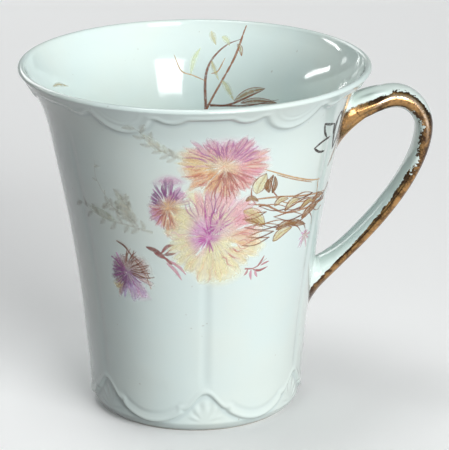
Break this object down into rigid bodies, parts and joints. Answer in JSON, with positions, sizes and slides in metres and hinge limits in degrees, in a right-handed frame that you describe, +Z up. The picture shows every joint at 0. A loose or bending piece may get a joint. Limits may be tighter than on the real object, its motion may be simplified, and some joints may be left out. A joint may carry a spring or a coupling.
{
  "type": "chocolate cup",
  "caption": "Tall flared porcelain chocolate cup with moulded panels, scalloped rim band, lobed foot, gilt-edged strap handle and painted flower sprays, for hot drinks.",
  "frame": {"origin": "on the table, at the middle of the foot ring, which is the cup's own axis", "axes": "+Z up along the cup's axis, +X towards the handle, -Y towards the painted front"},
  "size_m": [0.0899, 0.076, 0.077],
  "materials": {
    "porcelain": "gloss",
    "bare_porcelain": "matte",
    "gilding": "satin",
    "enamel_bloom": "gloss",
    "enamel_stem": "gloss"
  },
  "bodies": {
    "root": {"cup_body": "porcelain", "handle": "porcelain", "upper_slip_joint": "bare_porcelain", "lower_slip_joint": "bare_porcelain", "handle_gilding": "gilding", "root_gilding": "gilding", "front_spray": "enamel_bloom", "inside_spray": "enamel_stem", "back_sprig": "enamel_bloom"}
  },
  "joints": []
}
